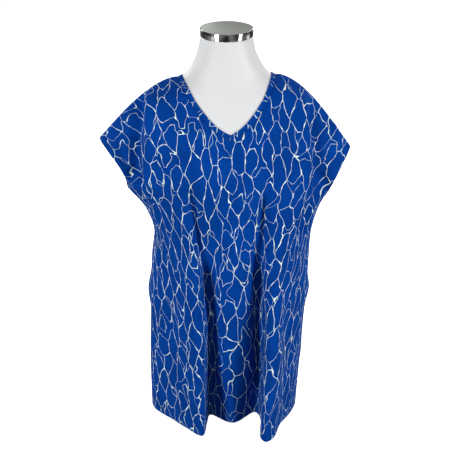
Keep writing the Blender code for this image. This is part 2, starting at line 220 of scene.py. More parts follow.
@dataclass(frozen=True)
class CracklePrint:
    """Tall rounded cells drawn in thin pale outlines, laid out by a rule on the cut cloth.

    Where two cells press together they share one line, and where they part each keeps its
    own, so slim slivers of the ground show between them.
    """

    cell: tuple[float, float] = (0.0224, 0.0570)
    stagger: float = 0.74
    scatter: float = 0.56
    wander: tuple[float, float] = (0.012, 0.017)
    wander_scale: float = 25.0
    tremble: tuple[float, float] = (0.0020, 0.0026)
    tremble_scale: float = 75.0
    parting: float = 0.34
    parting_scale: float = 27.0
    parting_range: tuple[float, float] = (0.49, 0.74)
    single_range: tuple[float, float] = (0.49, 0.55)
    line: float = 0.00027
    single: float = 0.00015
    swell: float = 0.00048
    swell_scale: float = 80.0
    swell_range: tuple[float, float] = (0.55, 0.72)
    soft: float = 0.00012
    step: float = 0.0005
    least_slope: float = 34.0

    def mask(self, painter: Painter) -> Shade:
        """Return 1 on the pale lines and 0 on the ground.

        Args:
            painter: The material's painter.

        Returns:
            The mask.
        """
        flat = painter.node("ShaderNodeUVMap", {"uv_map": "Flat"})
        place = flat
        for reach, scale in ((self.wander, self.wander_scale),
                             (self.tremble, self.tremble_scale)):
            drift = painter.vector("SUBTRACT", painter.noise(flat, scale, 0.0, out="Color"),
                                   (0.5, 0.5, 0.5))
            place = painter.vector("MULTIPLY_ADD", drift, (*reach, 0.0), place)
        here = self.between(painter, place)
        slopes = [(self.between(painter, painter.vector("ADD", place, shift)) - here)
                  / self.step for shift in ((self.step, 0.0, 0.0), (0.0, self.step, 0.0))]
        slope = (slopes[0] * slopes[0] + slopes[1] * slopes[1]) ** 0.5
        gap = painter.noise(flat, self.parting_scale, 0.0)
        apart = (abs(here - gap.ramp(*self.parting_range, 0.0, self.parting))
                 / slope.largest(self.least_slope))
        swell = painter.noise(flat, self.swell_scale, 0.0).ramp(*self.swell_range)
        width = (self.line + self.single * gap.ramp(*self.single_range, 1.0, 0.0)
                 + self.swell * swell)
        return (apart - width).ramp(-self.soft, self.soft, 1.0, 0.0)

    def between(self, painter: Painter, place: Shade) -> Shade:
        """Return how much farther the second nearest cell is than the nearest.

        Args:
            painter: The material's painter.
            place: Where to look, on the cut cloth.

        Returns:
            The difference, in cells.
        """
        cells = painter.node("ShaderNodeMapping", inputs={
            "Vector": place, "Rotation": (0.0, 0.0, self.stagger),
            "Scale": (1.0 / self.cell[0], 1.0 / self.cell[1], 1.0)})
        near, far = (painter.node("ShaderNodeTexVoronoi",
                                  {"voronoi_dimensions": "2D", "feature": feature},
                                  {"Vector": cells, "Scale": 1.0,
                                   "Randomness": self.scatter})
                     for feature in ("F1", "F2"))
        return far - near


@dataclass(frozen=True)
class PrintedJersey:
    """Smooth cotton jersey with the crackle print on its right side."""

    name: str = "printed_jersey"
    ground: Colour = (0.0004, 0.0520, 0.328)
    lines: Colour = (0.80, 0.99, 0.90)
    cover: float = 1.0
    wale: float = 0.0012
    shades: tuple[float, float] = (0.90, 1.08)
    cloud_scale: float = 14.0
    grain_scale: float = 900.0

    def make(self) -> bpy.types.Material:
        """Return the material.

        Returns:
            The material with its nodes.
        """
        paint = Painter(self.name)
        mask = CracklePrint().mask(paint)
        flat = paint.node("ShaderNodeUVMap", {"uv_map": "Flat"})
        cloud = paint.noise(flat, self.cloud_scale, 3.0).ramp(0.3, 0.7)
        deep, pale = (tuple(share * value for value in self.ground) for share in self.shades)
        colour = paint.mix(mask * self.cover, paint.mix(cloud, deep, pale), self.lines)
        grain = paint.noise(flat, self.grain_scale, 2.0)
        across = paint.node("ShaderNodeSeparateXYZ", inputs={0: flat})
        ribs = (across * (2.0 * math.pi / self.wale)).sine()
        return paint.surface(base_color=colour, roughness=grain * 0.12 + 0.76,
                             sheen_weight=0.09, sheen_roughness=0.4,
                             sheen_tint=(0.10, 0.40, 0.95), specular_ior_level=0.04,
                             normal=paint.bump(grain * 0.6 + ribs * 0.2, 0.25, 0.0004))


@dataclass(frozen=True)
class PlainFinish:
    """A plain finish with a slight unevenness of colour and gloss, except on the polished cap
    band, whose wide, upright-streaked spread of colour is painted reflection.
    """

    name: str
    colour: Colour
    roughness: float
    metallic: float = 0.0
    grain: float = 200.0
    relief: float = 0.05
    # spread: how far the colour wanders each way; the cap band's large spread, with its cloud
    # stretched upright, is painted reflection
    spread: float = 0.03
    gloss: float = 0.5
    cloud: Point = (9.0, 9.0, 9.0)

    def make(self) -> bpy.types.Material:
        """Return the material.

        Returns:
            The material with its nodes.
        """
        paint = Painter(self.name)
        place = paint.node("ShaderNodeTexCoord", out="Object")
        noise = paint.noise(place, self.grain, 3.0, flat=False)
        stretched = paint.vector("MULTIPLY", place, self.cloud)
        cloud = paint.noise(stretched, 1.0, 2.0, flat=False)
        # the colour drifts between low and high with the cloud; on the cap band this paints
        # reflection streaks
        low, high = (tuple(min(1.0, value * share) for value in self.colour)
                     for share in (1.0 - self.spread, 1.0 + self.spread))
        return paint.surface(base_color=paint.mix(cloud.ramp(0.38, 0.62), low, high),
                             roughness=(noise - 0.5) * 0.08 + self.roughness,
                             metallic=self.metallic, specular_ior_level=self.gloss,
                             normal=paint.bump(noise, self.relief, 0.0003))


class CurveTable:
    """A table whose columns are joined by smooth curves along its first column."""

    def __init__(self, rows: list[tuple[float, ...]]) -> None:
        """Read the rows and work out the slopes.

        Args:
            rows: The table's rows, lowest key first.
        """
        data = np.array(rows, float)
        self.keys, self.values = data[:, 0], data[:, 1:]
        last = len(data) - 1
        before = np.maximum(np.arange(last + 1) - 1, 0)
        after = np.minimum(np.arange(last + 1) + 1, last)
        self.slopes = ((self.values[after] - self.values[before])
                       / (self.keys[after] - self.keys[before])[:, None])

    def at(self, where: Array) -> Array:
        """Return the columns at each place.

        Args:
            where: Values of the first column.

        Returns:
            One row of columns for each place.
        """
        where = np.clip(np.atleast_1d(np.asarray(where, float)), self.keys[0], self.keys[-1])
        low = np.clip(np.searchsorted(self.keys, where, side="right") - 1,
                      0, len(self.keys) - 2)
        step = (self.keys[low + 1] - self.keys[low])[:, None]
        s = (where[:, None] - self.keys[low][:, None]) / step
        return ((2 * s**3 - 3 * s**2 + 1) * self.values[low]
                + (s**3 - 2 * s**2 + s) * step * self.slopes[low]
                + (3 * s**2 - 2 * s**3) * self.values[low + 1]
                + (s**3 - s**2) * step * self.slopes[low + 1])


def ease(value: Any) -> Any:
    """Return a value that eases from 0 to 1."""
    value = np.clip(value, 0.0, 1.0)
    return value * value * (3.0 - 2.0 * value)


def progress(value: Any, span: tuple[float, float]) -> Any:
    """Return how far a value has gone through a span of a start and a length."""
    return (value - span[0]) / span[1]


def running(steps: Array, axis: int = 0) -> Array:
    """Return the running total of steps along an axis, from 0."""
    none = np.zeros_like(np.take(steps, [0], axis=axis))
    return np.concatenate([none, np.cumsum(steps, axis=axis)], axis=axis)


def unit(rows: Array) -> Array:
    """Return each row at length 1."""
    return rows / np.maximum(np.linalg.norm(rows, axis=-1, keepdims=True), 1e-12)


@dataclass(frozen=True)
class Crease:
    """A soft trough or ridge, placed along a given line of x and z.

    A negative height is a trough.  The widths are those of its left and its right slope,
    as a viewer in front of the tunic sees them.
    """

    path: tuple[tuple[float, float], ...]
    height: float
    widths: tuple[float, float] = (0.010, 0.010)
    fade: float = 0.30

    def offset(self, points: Array) -> Array:
        """Return how far each point stands out because of this crease.

        Args:
            points: Points of the panel.

        Returns:
            Distances along the points' normals.
        """
        flat = points[:, [0, 2]]
        corners = np.array(self.path)
        nearest = np.full(len(flat), np.inf)
        along, side = np.zeros(len(flat)), np.zeros(len(flat))
        start = 0.0
        for first, second in zip(corners, corners[1:]):
            length = float(np.hypot(*(second - first)))
            step = (second - first) / length
            reach = np.clip((flat - first) @ step, 0.0, length)
            gap = flat - first - reach[:, None] * step
            distance = np.hypot(gap[:, 0], gap[:, 1])
            nearer = distance < nearest
            nearest = np.where(nearer, distance, nearest)
            along = np.where(nearer, start + reach, along)
            side = np.where(nearer, gap[:, 0], side)
            start += length
        share = along / start
        width = np.where(side < 0.0, self.widths[0], self.widths[1])
        ends = ease(share / self.fade) * ease((1.0 - share) / self.fade)
        return self.height * ends * np.exp(-((nearest / width) ** 2))


@dataclass(frozen=True)
class Swelling:
    """A soft outward bump at a side of the tunic."""

    centre: Point
    reach: Point
    height: float

    def offset(self, points: Array) -> Array:
        """Return how far each point stands out because of this swelling."""
        away = (points - np.array(self.centre)) / np.array(self.reach)
        return self.height * np.exp(-np.sum(away * away, axis=1))


HEM_Z = 0.03                # the height of the hem
FOLD_TOP = 0.525            # the height at which the folds of the hem have died out
# The rows of the cloth are counted by t, which runs from 0 at the hem to 1 at the shoulder.
T_TURN = 0.024              # the top of the turned hem
T_UNDERARM = 0.66           # where the side seam ends and the cuff begins
T_NECK = 0.78               # where the neck edge leaves the centre line

# t, the x of the left and of the right seam, their y, and the z of the left and of the right
SIDE_SEAM = CurveTable([
    (0.0, -0.168, 0.151, 0.014, HEM_Z, HEM_Z), (0.12, -0.169, 0.158, 0.014, 0.13, 0.13),
    (0.27, -0.165, 0.167, 0.014, 0.26, 0.258), (0.42, -0.16, 0.175, 0.014, 0.375, 0.372),
    (0.52, -0.1538, 0.18, 0.014, 0.448, 0.436), (0.6, -0.1738, 0.1945, 0.012, 0.502, 0.484),
    (T_UNDERARM, -0.2065, 0.2085, 0.01, 0.543, 0.507),
])
CUFF_TIP = {Side.LEFT: (-0.262, 0.0, 0.656), Side.RIGHT: (0.259, 0.0, 0.622)}
CUFF_BULGE = {Panel.FRONT: -0.046, Panel.BACK: 0.05}
SHOULDER_ARCH = {Side.LEFT: 0.022, Side.RIGHT: 0.029}
CUFF_CURVE = {Side.LEFT: 0.015, Side.RIGHT: -0.012}
# t and the place of the panel's centre line
CENTRE = {
    Panel.FRONT: CurveTable([
        (0.0, 0.004, -0.118, HEM_Z), (0.12, 0.004, -0.118, 0.13), (0.27, 0.003, -0.116, 0.26),
        (0.42, 0.002, -0.113, 0.378), (0.52, 0.001, -0.111, 0.456), (0.6, 0.0, -0.112, 0.52),
        (0.68, 0.0, -0.113, 0.59), (T_NECK, 0.0, -0.091, 0.675),
    ]),
    Panel.BACK: CurveTable([
        (0.0, 0.0, 0.122, HEM_Z), (0.12, 0.0, 0.118, 0.13), (0.27, 0.0, 0.112, 0.262),
        (0.42, 0.0, 0.105, 0.39), (0.52, 0.0, 0.102, 0.48), (0.6, 0.0, 0.104, 0.56),
        (0.68, 0.0, 0.104, 0.65), (T_NECK, 0.0, 0.075, 0.745),
    ]),
}
# the share of the neck edge from its middle to the shoulder, and its place on the right
NECK_EDGE = {
    Panel.FRONT: CurveTable([
        (0.0, 0.0, -0.091, 0.675), (0.132, 0.0216, -0.088, 0.6862),
        (0.273, 0.0416, -0.081, 0.7023), (0.441, 0.0613, -0.071, 0.7247),
        (0.589, 0.0765, -0.0605, 0.7455), (0.743, 0.088, -0.044, 0.7662),
        (1.0, 0.099, 0.0, 0.7825),
    ]),
    Panel.BACK: CurveTable([
        (0.0, 0.0, 0.075, 0.745), (0.25, 0.03, 0.072, 0.7475), (0.5, 0.059, 0.061, 0.7535),
        (0.75, 0.083, 0.037, 0.766), (1.0, 0.099, 0.0, 0.7825),
    ]),
}
# the share of the hem from the left seam, -1, to the right one, 1, and its x and y
HEM_FOLDS = {
    Panel.FRONT: CurveTable([
        (-1.0, -0.168, 0.014), (-0.85, -0.165, -0.04), (-0.66, -0.124, -0.095),
        (-0.53, -0.098, -0.129), (-0.41, -0.067, -0.162), (-0.26, -0.053, -0.11),
        (-0.17, -0.043, -0.08), (0.0, 0.004, -0.117), (0.16, 0.056, -0.078), (0.26, 0.066, -0.12),
        (0.39, 0.057, -0.175), (0.45, 0.066, -0.197), (0.52, 0.086, -0.18), (0.64, 0.104, -0.132),
        (0.76, 0.13, -0.092), (0.88, 0.15, -0.045), (1.0, 0.151, 0.014),
    ]),
    Panel.BACK: CurveTable([
        (-1.0, -0.168, 0.014), (-0.83, -0.163, 0.07), (-0.6, -0.128, 0.142),
        (-0.38, -0.086, 0.096), (-0.17, -0.046, 0.146), (0.0, 0.0, 0.106), (0.19, 0.05, 0.15),
        (0.4, 0.088, 0.098), (0.62, 0.121, 0.138), (0.84, 0.148, 0.066), (1.0, 0.151, 0.014),
    ]),
}

CREASES = {
    Panel.FRONT: (
        # the two deep folds of the front: a valley and its crest on each side of the centre
        Crease(((-0.088, 0.66), (-0.08, 0.575), (-0.067, 0.494), (-0.048, 0.375), (-0.039, 0.27)),
               -0.011, (0.013, 0.009), 0.25),
        Crease(((-0.08, 0.59), (-0.067, 0.49), (-0.055, 0.4)), -0.009, (0.009, 0.008), 0.35),
        Crease(((-0.085, 0.5), (-0.067, 0.376), (-0.062, 0.234), (-0.06, 0.09)), 0.006,
               (0.014, 0.01)),
        Crease(((0.074, 0.65), (0.068, 0.56), (0.061, 0.44), (0.055, 0.371), (0.053, 0.27)),
               -0.011, (0.008, 0.012), 0.25),
        Crease(((0.069, 0.59), (0.063, 0.48), (0.057, 0.39)), -0.009, (0.008, 0.009), 0.35),
        Crease(((0.074, 0.52), (0.076, 0.37), (0.081, 0.227), (0.08, 0.082)), 0.006,
               (0.012, 0.014)),
        # the proud edges of the panel between the two folds
        Crease(((0.036, 0.5), (0.033, 0.371), (0.033, 0.229), (0.035, 0.03)), 0.0145,
               (0.019, 0.01)),
        Crease(((-0.026, 0.48), (-0.019, 0.371), (-0.014, 0.229), (-0.013, 0.08)), 0.0085,
               (0.01, 0.016)),
        Crease(((0.006, 0.5), (0.006, 0.371), (0.008, 0.229), (0.01, 0.05)), 0.011, (0.03, 0.03),
               0.25),
        # softer troughs and ridges towards the sides
        Crease(((-0.13, 0.44), (-0.125, 0.29), (-0.118, 0.09)), -0.005, (0.011, 0.01)),
        Crease(((-0.098, 0.47), (-0.094, 0.377), (-0.09, 0.2)), 0.003, (0.009, 0.009)),
        Crease(((0.112, 0.465), (0.114, 0.349), (0.116, 0.12)), -0.005, (0.01, 0.011)),
        # the left sleeve: a ridge off the shoulder, the valley beside it, then the flare
        Crease(((-0.156, 0.775), (-0.162, 0.667), (-0.168, 0.54)), 0.0115, (0.008, 0.013), 0.18),
        Crease(((-0.172, 0.775), (-0.186, 0.675), (-0.196, 0.56)), -0.0185, (0.011, 0.008), 0.18),
        Crease(((-0.232, 0.705), (-0.226, 0.62)), 0.0045),
        Crease(((-0.226, 0.665), (-0.206, 0.59)), -0.0055, (0.008, 0.008)),
        Crease(((-0.204, 0.61), (-0.16, 0.54), (-0.138, 0.47)), -0.0125, (0.008, 0.007), 0.22),
        Crease(((-0.196, 0.57), (-0.158, 0.49)), -0.0095, (0.006, 0.006), 0.22),
        Crease(((-0.186, 0.598), (-0.162, 0.57), (-0.142, 0.545)), -0.011, (0.006, 0.0065)),
        Crease(((-0.178, 0.578), (-0.153, 0.548), (-0.136, 0.524)), 0.0065, (0.006, 0.006)),
        # the right sleeve
        Crease(((0.15, 0.76), (0.157, 0.657), (0.162, 0.54)), 0.008, (0.013, 0.009), 0.2),
        Crease(((0.165, 0.735), (0.178, 0.64), (0.184, 0.52)), -0.012, (0.009, 0.012), 0.2),
        Crease(((0.222, 0.69), (0.218, 0.6)), 0.005),
        Crease(((0.206, 0.62), (0.19, 0.555)), -0.0055, (0.008, 0.008)),
        Crease(((0.208, 0.57), (0.166, 0.51), (0.148, 0.44)), -0.0115, (0.007, 0.008), 0.22),
        # slight pulls from the shoulders to the bust
        Crease(((-0.055, 0.6), (-0.096, 0.556), (-0.13, 0.52)), -0.002, (0.014, 0.014)),
        Crease(((0.05, 0.61), (0.092, 0.566), (0.125, 0.53)), -0.002, (0.014, 0.014)),
    ),
    # the back, whose creases are less deep than the front's
    Panel.BACK: (
        Crease(((-0.16, 0.75), (-0.168, 0.66), (-0.17, 0.56)), 0.005),
        Crease(((-0.186, 0.72), (-0.194, 0.64), (-0.192, 0.55)), -0.008, (0.012, 0.009)),
        Crease(((0.158, 0.74), (0.165, 0.65), (0.168, 0.55)), 0.005),
        Crease(((0.182, 0.705), (0.192, 0.62), (0.192, 0.53)), -0.008, (0.009, 0.012)),
        Crease(((-0.205, 0.6), (-0.16, 0.535), (-0.125, 0.47)), -0.005, (0.008, 0.008)),
        Crease(((0.205, 0.58), (0.16, 0.515), (0.122, 0.46)), -0.005, (0.008, 0.008)),
        Crease(((-0.07, 0.69), (-0.046, 0.6), (-0.034, 0.48)), -0.003, (0.013, 0.011)),
        Crease(((0.075, 0.68), (0.052, 0.6), (0.044, 0.5)), -0.0026, (0.011, 0.013)),
        Crease(((0.002, 0.56), (0.0, 0.38), (-0.002, 0.14)), -0.0095, (0.012, 0.012)),
        Crease(((-0.088, 0.52), (-0.086, 0.34), (-0.086, 0.12)), -0.0105, (0.011, 0.013)),
        Crease(((0.09, 0.48), (0.088, 0.33), (0.088, 0.11)), -0.0085, (0.013, 0.011)),
        Crease(((-0.124, 0.44), (-0.126, 0.3), (-0.128, 0.1)), 0.0055),
        Crease(((0.046, 0.47), (0.048, 0.33), (0.05, 0.13)), 0.006),
    ),
}
SWELLINGS = [
    Swelling((-0.167, 0.014, 0.302), (0.03, 0.06, 0.024), 0.0065),
    Swelling((0.17, 0.014, 0.306), (0.03, 0.06, 0.026), 0.01),
    Swelling((0.163, 0.014, 0.165), (0.03, 0.05, 0.018), 0.0045),
]


@dataclass
class Tunic:
    """The tunic: two panels and a neck binding, which share the points of their seams."""

    wall: float = 0.0013
    turn_depth: float = 0.0190
    turn_wall: float = 0.0011
    turn_lift: float = 0.00025
    turn_ease: float = 0.0030
    seam_dip: float = 0.0005
    stitch_dip: float = 0.00035
    dip_width: float = 0.0022
    rest_gap: float = 0.0004
    # each span is the t where a change of form starts, and over how much of t it goes
    sleeve_span: tuple[float, float] = (T_UNDERARM, 0.22)
    square_span: tuple[float, float] = (0.40, 0.26)
    arch_span: tuple[float, float] = (0.62, 0.38)
    chest_span: tuple[float, float] = (0.45, 0.55)
    grain_span: tuple[float, float] = (0.45, 0.30)
    squareness: float = 2.35
    square_drop: float = 0.35
    chest_puff: float = 0.016
    grain_time: float = 0.36
    grain_steer: float = 0.50
    columns: int = 66
    hem_rows: int = 9
    body_rows: int = 94
    yoke_rows: int = 20
    neck_rows: int = 44
    binding_wall: float = 0.0022
    binding_width: float = 0.0100
    binding_lanes: int = 9
    mitre_limit: float = 0.5
    # where the print of the back and of the binding is cut from
    back_print: tuple[float, float] = (3.17, 1.43)
    binding_print: tuple[float, float] = (7.3, 2.2)
    stitch_pitch: float = 0.0030
    stitch_length: float = 0.0021
    stitch_half: float = 0.00022
    stitch_high: float = 0.00028
    stitch_rows: dict[Edge, tuple[float, ...]] = field(default_factory=lambda: {
        Edge.HEM: (0.0115, 0.0170), Edge.CUFF: (0.0115, 0.0170), Edge.NECK: (0.0028,)})
    # each panel's flat width, length and area
    cuts: dict[Panel, tuple[float, float, float]] = field(default_factory=lambda: {
        Panel.FRONT: (0.79, 0.80, 0.462), Panel.BACK: (0.65, 0.81, 0.411)})

    def __post_init__(self) -> None:
        """Lay out the surface over the form, drape it and work out its normals."""
        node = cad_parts["form_torso"].data
        node.calc_loop_triangles()
        self.tree = BVHTree.FromPolygons([vertex.co for vertex in node.vertices],
                                         [tuple(tri.vertices) for tri in node.loop_triangles])
        stops = ((0.0, self.hem_rows), (T_TURN, self.body_rows),
                 (T_UNDERARM, self.yoke_rows), (T_NECK, self.neck_rows))
        ends = (T_TURN, T_UNDERARM, T_NECK, 1.0)
        self.times = np.concatenate([np.linspace(start, end, count, endpoint=False)
                                     for (start, count), end in zip(stops, ends)] + [[1.0]])
        self.arm = self.hem_rows + self.body_rows
        self.foot = self.arm + self.yoke_rows
        self.index: dict[tuple[Panel, Side], Array] = {}
        self.points = np.concatenate([grid.reshape(-1, 3) for grid in self.number_grids()])
        self.faces = {panel: self.panel_faces(panel) for panel in Panel}
        self.all_faces = np.concatenate(list(self.faces.values()))
        self.used = np.unique(self.all_faces)
        self.lift()
        plain = self.measure()[0]
        self.crease()
        self.lift()
        self.relax(3)
        self.lift()
        self.normals = self.face_normals(self.points, self.all_faces)
        creased, self.from_edge = self.measure()
        self.flat = {panel: (plain[panel] + creased[panel]) / 2 for panel in Panel}

    def number_grids(self) -> list[Array]:
        """Return the four half panels' grids, and number their points with shared seams.

        Returns:
            The grids, by panel and side.
        """
        grids, count = [], 0
        for panel in Panel:
            for side in Side:
                grid = self.half_grid(panel, side)
                size = grid.shape[0] * grid.shape[1]
                numbers = count + np.arange(size).reshape(grid.shape[:2])
                count += size
                if side is Side.RIGHT:
                    left = self.index[(panel, Side.LEFT)]
                    numbers[:self.foot + 1, 0] = left[:self.foot + 1, 0]
                if panel is Panel.BACK:
                    front = self.index[(Panel.FRONT, side)]
                    numbers[:self.arm + 1, -1] = front[:self.arm + 1, -1]
                    numbers[-1] = front[-1]
                self.index[(panel, side)] = numbers
                grids.append(grid)
        return grids

    def edges(self, panel: Panel, side: Side) -> tuple[Array, Array]:
        """Return the inner and outer edge of a half panel.

        Args:
            panel: The panel.
            side: Its half.

        Returns:
            Two arrays of points, one for each row.
        """
        t = self.times
        seam = SIDE_SEAM.at(t)
        x, z = (seam[:, 0], seam[:, 3]) if side is Side.LEFT else (seam[:, 1], seam[:, 4])
        outer = np.stack([x, seam[:, 2], z], axis=1)
        share = np.clip((t - T_UNDERARM) / (1.0 - T_UNDERARM), 0.0, 1.0)[:, None]
        outer = outer + (np.array(CUFF_TIP[side]) - outer) * share
        swell = np.maximum(np.sin(np.pi * share[:, 0]), 0.0)
        outer[:, 1] += CUFF_BULGE[panel] * swell ** 0.8
        outer[:, 0] += CUFF_CURVE[side] * swell
        neck = NECK_EDGE[panel].at((t - T_NECK) / (1.0 - T_NECK))
        neck[:, 0] *= side.value
        return np.where((t <= T_NECK)[:, None], CENTRE[panel].at(t), neck), outer

    def half_grid(self, panel: Panel, side: Side, dense: int = 200) -> Array:
        """Return a half panel's points, by row and by column from the centre outwards.

        Args:
            panel: The panel.
            side: Its half.
            dense: Samples along a row before it is spaced evenly.

        Returns:
            An array of rows, columns and coordinates.
        """
        inner, outer = self.edges(panel, side)
        t = self.times[:, None]
        a = np.linspace(0.0, 1.0, dense + 1)[None, :]
        angle = a * math.pi / 2
        sleeve = ease(progress(t, self.sleeve_span))
        square = 2.0 / (self.squareness
                        - self.square_drop * ease(progress(t, self.square_span)))
        arch = SHOULDER_ARCH[side] * ease(progress(t, self.arch_span))
        chest = self.chest_puff * np.sin(
            np.pi * np.clip(progress(t, self.chest_span), 0.0, 1.0))
        body_x = np.sin(angle) ** square
        body_y = 1.0 - np.maximum(np.cos(angle), 0.0) ** square
        across = body_x + (a - body_x) * sleeve
        deep = body_y + (a ** 1.25 - body_y) * sleeve
        fall = (1.0 - np.cos(angle)) * (1.0 - sleeve) + a * sleeve
        hump = np.sin(np.pi * a ** 0.8)
        rows = inner[:, None, :] + ((outer - inner)[:, None, :]
                                    * np.stack([across, deep, fall], axis=2))
        rows[:, :, 1] += panel.forward * chest * hump
        rows[:, :, 2] += arch * hump
        grid = self.even(rows)
        q = side.value * np.linspace(0.0, 1.0, self.columns + 1)
        move = HEM_FOLDS[panel].at(q) - grid[0, :, :2]
        share = np.clip((FOLD_TOP - grid[:, :, 2]) / (FOLD_TOP - HEM_Z), 0.0, 1.0)
        grid[:, :, :2] += move[None] * (1.0 - (1.0 - share) ** 1.5)[:, :, None]
        return grid

    def even(self, rows: Array) -> Array:
        """Return each row's line spaced evenly into the panel's columns.

        Args:
            rows: Points by row and by sample.

        Returns:
            Points by row and by column.
        """
        lengths = running(np.linalg.norm(np.diff(rows, axis=1), axis=2), axis=1)
        spaced = np.empty((len(rows), self.columns + 1, 3))
        for number, (row, length) in enumerate(zip(rows, lengths)):
            goals = np.linspace(0.0, length[-1], self.columns + 1)
            for axis in range(3):
                spaced[number, :, axis] = np.interp(goals, length, row[:, axis])
        return spaced

    def panel_faces(self, panel: Panel) -> Array:
        """Return a panel's four-sided faces, all facing out.

        Args:
            panel: The panel.

        Returns:
            The numbers of each face's four points.
        """
        made = []
        for side in Side:
            n = self.index[(panel, side)]
            quads = np.stack([n[:-1, :-1], n[:-1, 1:], n[1:, 1:], n[1:, :-1]], axis=2)
            flip = (side is Side.LEFT) == (panel is Panel.FRONT)
            made.append(quads.reshape(-1, 4)[:, ::-1 if flip else 1])
        return np.concatenate(made)

    def clear(self, point: Vector, gap: float) -> Vector:
        """Return a point moved outwards until it clears the form by a gap.

        Args:
            point: The point.
            gap: The least distance from the form.

        Returns:
            The moved point.
        """
        place, normal, _, distance = self.tree.find_nearest(point)
        height = distance if (point - place).dot(normal) >= 0.0 else -distance
        return point + normal * max(0.0, gap - height)

    def lift(self, rounds: int = 2) -> None:
        """Move the panels' points outwards until they clear the form.

        Args:
            rounds: How often, as a move can bring a point near another part of the form.
        """
        gap = self.rest_gap + self.wall / 2
        for _ in range(rounds):
            for number in self.used:
                self.points[number] = self.clear(Vector(self.points[number]), gap)

    @staticmethod
    def face_normals(points: Array, faces: Array) -> Array:
        """Return every point's outward direction from the given faces.

        Args:
            points: The points.
            faces: Four-sided faces of their numbers.

        Returns:
            One unit vector for each point.
        """
        square, total = squares(points, faces), np.zeros_like(points)
        for column in range(4):
            np.add.at(total, faces[:, column], square)
        return unit(total)

    def crease(self) -> None:
        """Press the soft troughs, ridges and swellings into the surface."""
        normals = self.face_normals(self.points, self.all_faces)
        for panel in Panel:
            numbers = np.unique(self.faces[panel])
            facing = ease(normals[numbers, 1] * panel.forward / 0.5)
            offset = sum(crease.offset(self.points[numbers]) for crease in CREASES[panel])
            self.points[numbers] += normals[numbers] * (offset * facing)[:, None]
        offset = sum(swelling.offset(self.points[self.used]) for swelling in SWELLINGS)
        self.points[self.used] += normals[self.used] * offset[:, None]

    def relax(self, rounds: int) -> None:
        """Smooth the surface a little, with its seams and free edges held.

        Args:
            rounds: How often each point moves half way to its neighbours' mean.
        """
        held = np.zeros(len(self.points), bool)
        for numbers in self.index.values():
            held[numbers[0]] = held[numbers[-1]] = held[numbers[:, -1]] = True
            held[numbers[self.foot:, 0]] = True
        pairs = np.concatenate([self.all_faces[:, [i, (i + 1) % 4]] for i in range(4)])
        pairs = np.concatenate([pairs, pairs[:, ::-1]])
        count = np.bincount(pairs[:, 0], minlength=len(self.points))
        free = ~held & (count > 0)
        for _ in range(rounds):
            total = np.zeros_like(self.points)
            np.add.at(total, pairs[:, 0], self.points[pairs[:, 1]])
            mean = total[free] / count[free][:, None]
            self.points[free] += (mean - self.points[free]) * 0.5

    def measure(self) -> tuple[dict[Panel, Array], dict[Edge, Array]]:
        """Lay the panels flat.

        Returns:
            Each point's place on the cut cloth by panel, and its distance from each edge.
        """
        flat = {panel: np.zeros((len(self.points), 2)) for panel in Panel}
        from_edge = {edge: np.full(len(self.points), np.inf) for edge in Edge}
        for (panel, side), numbers in self.index.items():
            grid = self.points[numbers]
            step = np.diff(grid, axis=1)
            u = running(np.hypot(step[:, :, 0], step[:, :, 1]), axis=1)
            neck_shift = np.abs(grid[:, 0, 0] - grid[self.foot, 0, 0])
            u[self.foot:] += neck_shift[self.foot:, None]
            reference = u[int(np.argmin(np.abs(self.times - self.grain_time)))]
            steer = self.grain_steer * (1.0 - ease(progress(self.times, self.grain_span)))
            u = u + steer[:, None] * (reference - u)
            climb = np.linalg.norm(np.diff(grid, axis=0), axis=2)
            v = running(np.sqrt(np.maximum(climb ** 2 - np.diff(u, axis=0) ** 2, 0.0)))
            flat[panel][numbers] = np.stack([u * side.value, v], axis=2)
            inward = running(np.linalg.norm(step, axis=2), axis=1)
            outward = inward[:, -1:] - inward
            inward[:self.foot] = outward[:self.arm] = np.inf
            for edge, distance in ((Edge.HEM, running(climb)), (Edge.CUFF, outward),
                                   (Edge.NECK, inward)):
                from_edge[edge][numbers] = np.minimum(from_edge[edge][numbers], distance)
        flat[Panel.BACK] += np.array(self.back_print)
        return flat, from_edge

    def build(self, finishes: dict[str, bpy.types.Material]) -> None:
        """Build the panels with their stitches, and the neck binding.

        Args:
            finishes: The materials by name.
        """
        edge = np.minimum(self.from_edge[Edge.HEM], self.from_edge[Edge.CUFF])
        turned = 1.0 - ease((edge - self.turn_depth + self.turn_ease / 2) / self.turn_ease)
        outer = self.wall / 2 + self.turn_lift * turned
        for name, rows in self.stitch_rows.items():
            for row in rows:
                outer = outer - self.stitch_dip * np.exp(
                    -(((self.from_edge[name] - row) / self.dip_width) ** 2))
        for panel in Panel:
            for side in Side:
                numbers = self.index[(panel, side)]
                outer[numbers[-1]] -= self.seam_dip / 2
                outer[numbers[self.foot:, 0]] -= self.seam_dip / 2
                outer[numbers[:self.arm + 1, -1]] -= self.seam_dip / 4
        inner = self.wall / 2 + self.turn_wall * turned
        for panel in Panel:
            cloth = self.shell(f"{panel.value}_cloth", self.faces[panel], outer, inner,
                               self.flat[panel], [finishes["jersey"], finishes["inside"]])
            stitches = self.stitches(panel, finishes["thread"])
            for piece in (cloth, stitches):
                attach(piece, "root")
                LOG.info("%s: %d faces", piece.name, len(piece.data.polygons))
            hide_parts(panel.value)
            spread = self.flat[panel][np.unique(self.faces[panel])]
            twice = np.linalg.norm(squares(self.points, self.faces[panel]), axis=1).sum()
            LOG.info("%s: print laid over %.3f x %.3f m, %.4f m2 of cloth", cloth.name,
                     *np.ptp(spread, axis=0), twice / 2)
        self.binding(finishes["binding"])

